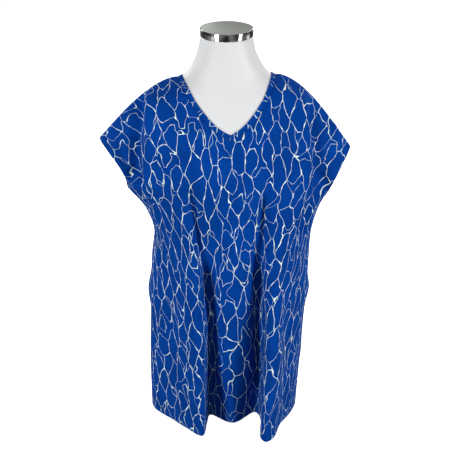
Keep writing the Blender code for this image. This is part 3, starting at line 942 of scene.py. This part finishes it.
    def shell(self, name: str, faces: Array, outer: Array, inner: Array, flat: Array,
              materials: list[bpy.types.Material]) -> bpy.types.Object:
        """Return a thin closed wall made from one surface.

        Args:
            name: The piece's name.
            faces: The surface's four-sided faces.
            outer: How far the right side stands out from the surface, by point.
            inner: How far the wrong side stands in, by point.
            flat: Every point's place on the cut cloth.
            materials: The materials of the right and the wrong side.

        Returns:
            The piece.
        """
        used, inverse = np.unique(faces, return_inverse=True)
        local = inverse.reshape(faces.shape)
        count = len(used)
        points = np.concatenate([self.points[used] + self.normals[used] * outer[used, None],
                                 self.points[used] - self.normals[used] * inner[used, None]])
        pairs = np.concatenate([local[:, [i, (i + 1) % 4]] for i in range(4)])
        forth, back = (pairs @ np.array(order) for order in ((count, 1), (1, count)))
        rim = pairs[~np.isin(forth, back)]
        rims = np.stack([rim[:, 1], rim[:, 0], rim[:, 0] + count, rim[:, 1] + count], axis=1)
        every = np.concatenate([local, local[:, ::-1] + count, rims])
        kinds = np.zeros(len(every), np.int32)
        kinds[len(local):2 * len(local)] = 1
        return add_mesh(name, points, every, materials, kinds,
                        np.concatenate([flat[used], flat[used]])[every.reshape(-1)])

    def row_line(self, panel: Panel, edge: Edge, distance: float) -> list[Array]:
        """Return the lines of points and normals that run at a distance from an edge.

        Args:
            panel: The panel.
            edge: The edge.
            distance: How far from it.

        Returns:
            Arrays whose rows hold a point and its normal.
        """
        lines = []
        for side in Side:
            numbers = self.index[(panel, side)]
            grid = {Edge.HEM: numbers.T, Edge.CUFF: numbers[self.arm:, ::-1],
                    Edge.NECK: numbers[self.foot:]}[edge]
            line = []
            for row in grid:
                away = self.from_edge[edge][row]
                after = int(np.argmax(away >= distance))
                first, second = row[after - 1], row[after]
                share = (distance - away[after - 1]) / (away[after] - away[after - 1])
                line.append([*(self.points[first] * (1 - share) + self.points[second] * share),
                             *(self.normals[first] * (1 - share)
                               + self.normals[second] * share)])
            lines.append(np.array(line))
        return lines

    def stitches(self, panel: Panel, thread: bpy.types.Material) -> bpy.types.Object:
        """Return a panel's rows of stitches: twin rows at hem and cuffs, one at the neck.

        Args:
            panel: The panel.
            thread: The thread's material.

        Returns:
            The piece.
        """
        points = []
        for edge, rows in self.stitch_rows.items():
            for distance in rows:
                for line in self.row_line(panel, edge, distance):
                    points += self.stitch_run(line)
        rings = np.arange(len(points)).reshape(-1, 4, 4)
        after = np.roll(rings, -1, axis=2)
        faces = np.stack([rings[:, :-1], after[:, :-1], after[:, 1:], rings[:, 1:]], axis=3)
        piece = add_mesh(f"{panel.value}_stitches", np.array(points), faces.reshape(-1, 4),
                         [thread])
        tidy(piece)
        return piece

    def stitch_run(self, line: Array) -> list[Array]:
        """Return the points of the stitches along a line: four rings of four for each.

        Args:
            line: Rows of a point and its normal.

        Returns:
            The points.
        """
        stations = ((-0.5, 0.0), (-0.3, 1.0), (0.3, 1.0), (0.5, 0.0))
        glance = 0.0005
        run = running(np.linalg.norm(np.diff(line[:, :3], axis=0), axis=1))
        goals = np.arange(self.stitch_pitch / 2, run[-1], self.stitch_pitch)
        place, normal = (np.stack([np.interp(goals, run, line[:, axis]) for axis in axes],
                                  axis=1) for axes in ((0, 1, 2), (3, 4, 5)))
        ahead = np.stack([np.interp(goals + glance, run, line[:, axis])
                          - np.interp(goals - glance, run, line[:, axis])
                          for axis in range(3)], axis=1)
        ahead, normal = unit(ahead), unit(normal)
        beside = np.cross(normal, ahead)
        top = place + normal * (self.wall / 2 + self.turn_lift)
        points = []
        for centre, up, along, across in zip(top, normal, ahead, beside):
            for station, girth in stations:
                middle = centre + along * station * self.stitch_length
                points += [middle + across * self.stitch_half * girth,
                           middle + up * self.stitch_high * girth,
                           middle - across * self.stitch_half * girth,
                           middle - up * self.stitch_high * girth]
        return points

    def binding(self, finish: bpy.types.Material) -> None:
        """Add the folded binding that finishes the neck, mitred at the point of the V.

        Args:
            finish: The binding's material.
        """
        edge = {key: numbers[self.foot:, 0] for key, numbers in self.index.items()}
        loop = np.concatenate([edge[(Panel.FRONT, Side.LEFT)],
                               edge[(Panel.BACK, Side.LEFT)][::-1][1:],
                               edge[(Panel.BACK, Side.RIGHT)][1:],
                               edge[(Panel.FRONT, Side.RIGHT)][::-1][1:-1]])
        seam = self.points[loop]
        count, lanes = len(loop), self.binding_lanes
        before, after = np.roll(seam, 1, axis=0), np.roll(seam, -1, axis=0)
        shares = np.linspace(0.0, 1.0, lanes)
        middle = np.empty((count, lanes, 3))
        for i, point in enumerate(seam):
            up = self.tree.find_nearest(Vector(point))[1]
            first = up.cross(Vector(point - before[i])).normalized()
            second = up.cross(Vector(after[i] - point)).normalized()
            inward = (first + second).normalized()
            inward = -inward if inward.z < 0.0 else inward
            width = self.binding_width / max(self.mitre_limit, abs(inward.dot(first)))
            for lane, share in enumerate(shares):
                goal = Vector(point) + inward * width * share
                middle[i, lane] = self.clear(goal, self.rest_gap + self.binding_wall / 2)
        for _ in range(2):
            eased = (np.roll(middle, 1, axis=0) + middle * 2 + np.roll(middle, -1, axis=0)) / 4
            sharp = np.zeros(count, bool)
            sharp[[-1, 0, 1]] = True
            middle[~sharp, 1:] = eased[~sharp, 1:]
        numbers = np.arange(count * lanes).reshape(count, lanes)
        onward = np.roll(numbers, -1, axis=0)
        quads = np.stack([numbers[:, :-1], numbers[:, 1:], onward[:, 1:], onward[:, :-1]],
                         axis=2).reshape(-1, 4)
        normals = self.face_normals(middle.reshape(-1, 3), quads).reshape(middle.shape)
        if np.sum(normals[:, 0] * self.normals[loop]) < 0.0:
            normals = -normals
        puff = self.binding_wall / 2 * np.sqrt(1.0 - np.abs(2.0 * shares - 1.0) ** 5)
        rings = np.concatenate([middle + normals * puff[None, :, None],
                                (middle - normals * puff[None, :, None])[:, -2:0:-1]], axis=1)
        size = rings.shape[1]
        numbers = np.arange(count * size).reshape(count, size)
        onward = np.roll(numbers, -1, axis=0)
        quads = np.stack([numbers, np.roll(numbers, -1, axis=1),
                          np.roll(onward, -1, axis=1), onward], axis=2).reshape(-1, 4)
        run = running(np.linalg.norm(after - seam, axis=1))
        lane_of = np.concatenate([np.arange(lanes), np.arange(lanes - 2, 0, -1)])
        flat = []
        for i in range(count):
            for spot in range(size):
                low, high = (shares[lane_of[number]] * self.binding_width
                             for number in (spot, (spot + 1) % size))
                flat += [(run[i], low), (run[i], high), (run[i + 1], high), (run[i + 1], low)]
        piece = add_mesh("neck_binding", rings.reshape(-1, 3), quads, [finish],
                         places=np.array(flat) + np.array(self.binding_print))
        tidy(piece)
        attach(piece, "root")
        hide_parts("neckband")
        LOG.info("%s: %d faces, %.3f m round", piece.name, len(quads), run[-1])


def squares(points: Array, faces: Array) -> Array:
    """Return each four-sided face's normal, whose length is twice the face's area."""
    corner = points[faces]
    return np.cross(corner[:, 2] - corner[:, 0], corner[:, 3] - corner[:, 1])


def add_mesh(name: str, points: Array, faces: Array, materials: list[bpy.types.Material],
             kinds: Array | None = None, places: Array | None = None) -> bpy.types.Object:
    """Add a smooth-shaded piece.

    Args:
        name: The piece's name.
        points: Its points.
        faces: Its faces.
        materials: Its materials.
        kinds: The material's number of each face.
        places: The flat place of each corner of each face.

    Returns:
        The piece.
    """
    mesh = bpy.data.meshes.new(name)
    mesh.from_pydata(points.tolist(), [], faces.tolist())
    if places is not None:
        layer = mesh.uv_layers.new(name="Flat")
        layer.data.foreach_set("uv", places.astype(np.float32).ravel())
    for material in materials:
        mesh.materials.append(material)
    if kinds is not None:
        mesh.polygons.foreach_set("material_index", kinds)
    mesh.polygons.foreach_set("use_smooth", np.ones(len(faces), bool))
    mesh.update()
    piece = bpy.data.objects.new(name, mesh)
    bpy.context.scene.collection.objects.link(piece)
    return piece


def tidy(piece: bpy.types.Object) -> None:
    """Merge a piece's doubled points and turn its faces outwards.

    Args:
        piece: The piece.
    """
    data = bmesh.new()
    data.from_mesh(piece.data)
    bmesh.ops.remove_doubles(data, verts=data.verts, dist=1e-6)
    bmesh.ops.recalc_face_normals(data, faces=data.faces)
    data.to_mesh(piece.data)
    data.free()


def deselect() -> None:
    """Deselect every object."""
    bpy.ops.object.select_all(action="DESELECT")


@dataclass
class DressForm:
    """The limbless form with its smooth skin and the round cap on its neck."""

    cap_radius: float = 0.0530
    cap_height: float = 0.0147
    cap_base: float = 0.8653
    cap_sides: int = 128
    rim_width: float = 0.0012
    rim_step: tuple[float, float] = (0.0008, -0.0004)
    rim_round: float = 0.0009
    plate_margin: float = 0.003
    fold_angle: float = math.radians(50)

    def torso(self, finish: bpy.types.Material) -> None:
        """Add the smooth torso, made from the solid that it stands for.

        Args:
            finish: The skin's material.
        """
        skin = bpy.data.objects.new("form_skin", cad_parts["form_torso"].data.copy())
        bpy.context.scene.collection.objects.link(skin)
        deselect()
        bpy.context.view_layer.objects.active = skin
        skin.select_set(True)
        bpy.ops.object.mode_set(mode="EDIT")
        bpy.ops.mesh.select_all(action="SELECT")
        bpy.ops.mesh.remove_doubles(threshold=0.00001)
        bpy.ops.mesh.tris_convert_to_quads(face_threshold=math.radians(60),
                                           shape_threshold=math.radians(60))
        bpy.ops.object.mode_set(mode="OBJECT")
        data = bmesh.new()
        data.from_mesh(skin.data)
        crease = (data.edges.layers.float.get("crease_edge")
                  or data.edges.layers.float.new("crease_edge"))
        for edge in data.edges:
            if edge.calc_face_angle(0.0) > self.fold_angle:
                edge[crease] = 1.0
        data.to_mesh(skin.data)
        data.free()
        smooth = skin.modifiers.new("smooth", "SUBSURF")
        smooth.levels = smooth.render_levels = 2
        bpy.ops.object.modifier_apply(modifier=smooth.name)
        bpy.ops.object.shade_smooth_by_angle(angle=math.radians(45))
        skin.data.materials.clear()
        skin.data.materials.append(finish)
        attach(skin, "root")
        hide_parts("form_torso")
        LOG.info("form_skin: %d faces", len(skin.data.polygons))

    def cap(self, top: bpy.types.Material, band: bpy.types.Material) -> None:
        """Add the cap: a polished band round a satin plate.

        Args:
            top: The plate's material.
            band: The band's material.
        """
        deselect()
        bpy.ops.mesh.primitive_cylinder_add(
            vertices=self.cap_sides, radius=self.cap_radius, depth=self.cap_height,
            location=(0.0, 0.0, self.cap_base + self.cap_height / 2))
        cap = bpy.context.object
        cap.name = cap.data.name = "neck_cap_metal"
        bpy.ops.object.transform_apply(location=True, rotation=True, scale=True)
        bpy.ops.object.mode_set(mode="EDIT")
        bpy.ops.mesh.select_all(action="DESELECT")
        bpy.ops.object.mode_set(mode="OBJECT")
        for face in cap.data.polygons:
            face.select = face.normal.z > 0.9
        bpy.ops.object.mode_set(mode="EDIT")
        bpy.ops.mesh.inset(thickness=self.rim_width)
        bpy.ops.mesh.inset(thickness=self.rim_step[0], depth=self.rim_step[1])
        bpy.ops.object.mode_set(mode="OBJECT")
        cap.data.materials.append(band)
        cap.data.materials.append(top)
        for face in cap.data.polygons:
            away = math.hypot(face.center.x, face.center.y)
            inner = away < self.cap_radius - self.plate_margin
            face.material_index = int(face.normal.z > 0.9 and inner)
        round_edge = cap.modifiers.new("edge", "BEVEL")
        round_edge.width, round_edge.segments = self.rim_round, 3
        round_edge.limit_method, round_edge.angle_limit = "ANGLE", math.radians(40)
        bpy.ops.object.modifier_apply(modifier=round_edge.name)
        bpy.ops.object.shade_smooth_by_angle(angle=math.radians(35))
        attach(cap, "root")
        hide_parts("neck_cap")
        LOG.info("neck_cap_metal: %d faces", len(cap.data.polygons))


@dataclass(frozen=True)
class Lamp:
    """A soft box: its bearing from the front in degrees, how far out and how high it stands,
    its size and power, and the height on the form's axis that it is aimed at.
    """

    name: str
    bearing: float
    reach: float
    height: float
    size: tuple[float, float]
    power: float
    aim: float = 0.45


@dataclass
class Studio:
    """The plain pale stage, the soft boxes and the camera at the photograph's place."""

    azimuth: float = -5.0
    distance: float = 2.4
    height: float = 1.532
    pitch: float = 24.48
    focal_pixels: float = 1236.8
    axis_pixel: float = 226.7
    ambient: float = 0.138
    glow: float = 0.95
    stage_radius: float = 12.0
    stage_height: float = 9.0
    stage_drop: float = 0.0005
    stage_sides: int = 96
    card_place: Point = (1.5, -0.1, 0.22)
    card_size: tuple[float, float] = (0.6, 1.6)
    card_glow: float = 0.60
    boxes: tuple[Lamp, ...] = (
        Lamp("left_box", -48.0, 2.2, 0.65, (0.50, 2.20), 39.0, 0.28),
        Lamp("right_box", 56.0, 2.2, 0.65, (0.50, 2.20), 41.0, 0.28),
        Lamp("front_box", -4.0, 2.9, 2.40, (1.20, 0.60), 7.5),
        Lamp("back_left_box", -142.0, 2.4, 1.70, (1.00, 1.30), 27.5),
        Lamp("back_right_box", 150.0, 2.4, 1.70, (1.00, 1.30), 27.5),
    )

    def build(self) -> None:
        """Build everything in the studio."""
        self.stage()
        self.cards()
        self.lamps()
        self.camera()
        self.world()

    def stage(self) -> None:
        """Lay a wide pale floor inside a round pale wall."""
        paper = Painter("stage_paper").surface(
            base_color=(0.93, 0.93, 0.93), roughness=0.9, specular_ior_level=0.0,
            emission_color=(1.0, 1.0, 1.0), emission_strength=self.glow)
        deselect()
        bpy.ops.mesh.primitive_circle_add(
            vertices=self.stage_sides, radius=self.stage_radius, fill_type="NGON",
            location=(0.0, 0.0, -self.stage_drop))
        bpy.context.object.name = "studio_floor"
        deselect()
        bpy.ops.mesh.primitive_cylinder_add(
            vertices=self.stage_sides, radius=self.stage_radius,
            depth=self.stage_height, end_fill_type="NOTHING",
            location=(0.0, 0.0, self.stage_height / 2 - self.stage_drop))
        bpy.context.object.name = "studio_wall"
        for name in ("studio_floor", "studio_wall"):
            piece = bpy.data.objects[name]
            piece.data.materials.append(paper)
            piece.visible_diffuse = piece.visible_glossy = False

    def cards(self) -> None:
        """Stand a dim card at each side, low down, for the polished cap to reflect."""
        paper = Painter("card_paper").surface(
            base_color=(0.0, 0.0, 0.0), roughness=0.9, specular_ior_level=0.0,
            emission_color=(1.0, 1.0, 0.97), emission_strength=self.card_glow)
        reach, forth, height = self.card_place
        for side in Side:
            deselect()
            bpy.ops.mesh.primitive_plane_add(
                size=1.0, location=(side.value * reach, forth, height),
                rotation=(0.0, math.pi / 2, 0.0))
            card = bpy.context.object
            card.name = f"studio_card_{side.name.lower()}"
            card.scale = (*self.card_size, 1.0)
            card.data.materials.append(paper)
            card.visible_camera = card.visible_diffuse = card.visible_shadow = False

    def lamps(self) -> None:
        """Stand the soft boxes round the form."""
        for lamp in self.boxes:
            data = bpy.data.lights.new(lamp.name, "AREA")
            data.shape, data.energy = "RECTANGLE", lamp.power
            data.size, data.size_y = lamp.size
            box = bpy.data.objects.new(lamp.name, data)
            bpy.context.scene.collection.objects.link(box)
            turn = math.radians(lamp.bearing)
            box.location = (lamp.reach * math.sin(turn), -lamp.reach * math.cos(turn),
                            lamp.height)
            aim = Vector((0.0, 0.0, lamp.aim)) - box.location
            box.rotation_euler = aim.to_track_quat("-Z", "Y").to_euler()

    def camera(self) -> None:
        """Place the camera."""
        data = bpy.data.cameras.new("studio_camera")
        data.sensor_width = 36.0
        data.lens = self.focal_pixels * data.sensor_width / IMAGE_WIDTH
        data.shift_x = (IMAGE_WIDTH / 2 - self.axis_pixel) / IMAGE_WIDTH
        camera = bpy.data.objects.new("studio_camera", data)
        bpy.context.scene.collection.objects.link(camera)
        turn = math.radians(self.azimuth)
        camera.location = (self.distance * math.sin(turn), -self.distance * math.cos(turn),
                           self.height)
        camera.rotation_euler = (math.radians(90.0 - self.pitch), 0.0, turn)
        bpy.context.scene.camera = camera

    def world(self) -> None:
        """Fill the room with faint even light, and show colours as they are."""
        world = bpy.data.worlds.new("studio_world")
        bpy.context.scene.world = world
        world.use_nodes = True
        background = world.node_tree.nodes["Background"]
        background.inputs[0].default_value = (1.0, 1.0, 1.0, 1.0)
        background.inputs[1].default_value = self.ambient
        bpy.context.scene.view_settings.view_transform = "Standard"


def main() -> None:
    """Build the scene piece by piece."""
    logging.basicConfig(level=logging.INFO, format="%(name)s: %(message)s")
    finishes = {
        "jersey": PrintedJersey().make(),
        "binding": PrintedJersey("printed_binding").make(),
        "inside": PrintedJersey("jersey_inside", (0.014, 0.083, 0.360), (0.41, 0.52, 0.70),
                                0.6).make(),
        "thread": PlainFinish("blue_thread", (0.003, 0.055, 0.330), 0.55, gloss=0.2,
                              grain=1500.0, relief=0.2).make(),
        "satin": PlainFinish("form_satin", (0.83, 0.84, 0.85), 0.42, grain=500.0,
                             relief=0.03, spread=0.01, gloss=0.3).make(),
        "plate": PlainFinish("cap_plate", (0.62, 0.65, 0.61), 0.45, 0.7, relief=0.08).make(),
        # The cap band's colour swings from dark to bright in upright streaks (spread 0.80, cloud
        # stretched upright): painted reflection streaks of the polished metal.
        "band": PlainFinish("cap_band", (0.62, 0.63, 0.62), 0.10, 1.0, relief=0.0, spread=0.80,
                            cloud=(48.0, 48.0, 12.0)).make(),
    }
    form = DressForm()
    form.torso(finishes["satin"])
    form.cap(finishes["plate"], finishes["band"])
    Tunic().build(finishes)
    Studio().build()


if __name__ == "__main__":
    main()
